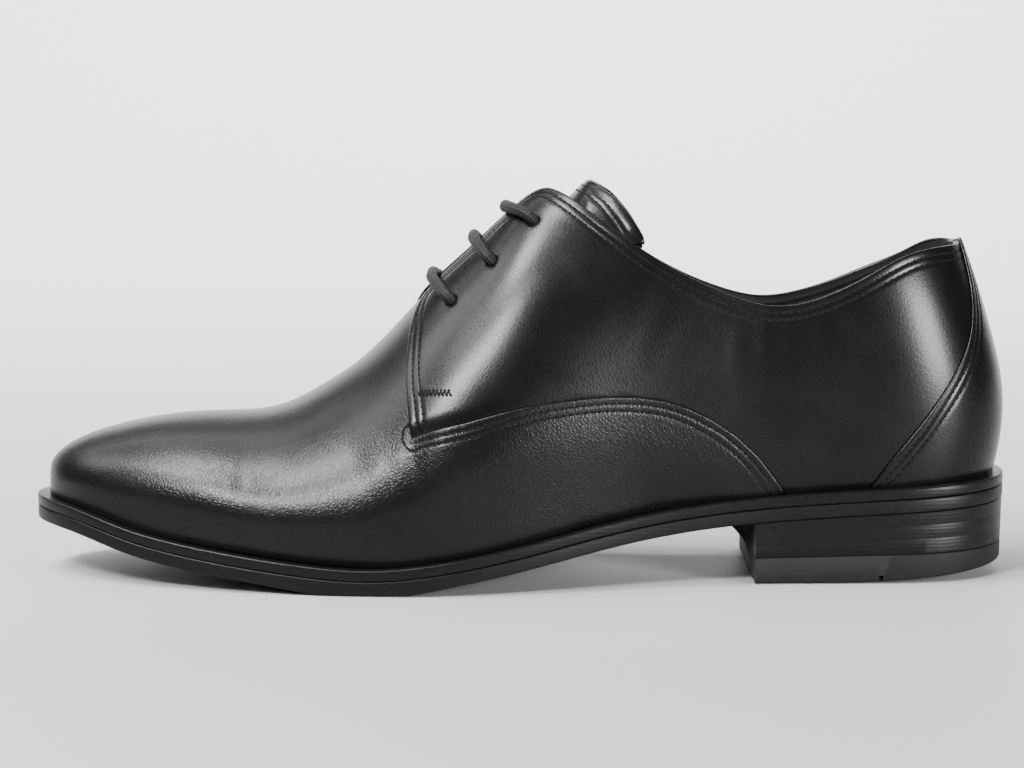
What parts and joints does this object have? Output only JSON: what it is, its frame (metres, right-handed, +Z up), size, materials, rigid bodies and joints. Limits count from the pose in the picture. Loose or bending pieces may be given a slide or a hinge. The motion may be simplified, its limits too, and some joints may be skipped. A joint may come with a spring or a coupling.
{
  "type": "dress shoe",
  "caption": "Plain-toe leather derby dress shoe on a thin leather sole with a low stacked heel, laced with straight bars; stands empty.",
  "frame": {"origin": "centre of the bounding box at the level the shoe stands on; the last's middle line is at Y = +0.0021", "axes": "+Z up, +X from the toe to the back of the heel, -Y towards the outer (little-toe) side"},
  "size_m": [0.303, 0.1036, 0.1209],
  "materials": {
    "upper_leather": "smooth black calf, satin gloss",
    "tongue_leather": "smooth black calf, satin",
    "insole_leather": "matt tan",
    "sole_leather": "black edge dye, satin",
    "top_lift_rubber": "matt black",
    "lace_cord": "waxed black cotton"
  },
  "bodies": {
    "root": {"outsole": "sole_leather", "welt": "sole_leather", "heel_stack": "sole_leather", "heel_top_lift": "top_lift_rubber", "insole": "insole_leather", "upper": "upper_leather", "counter": "upper_leather", "tongue": "tongue_leather", "lace": "lace_cord"}
  },
  "joints": []
}
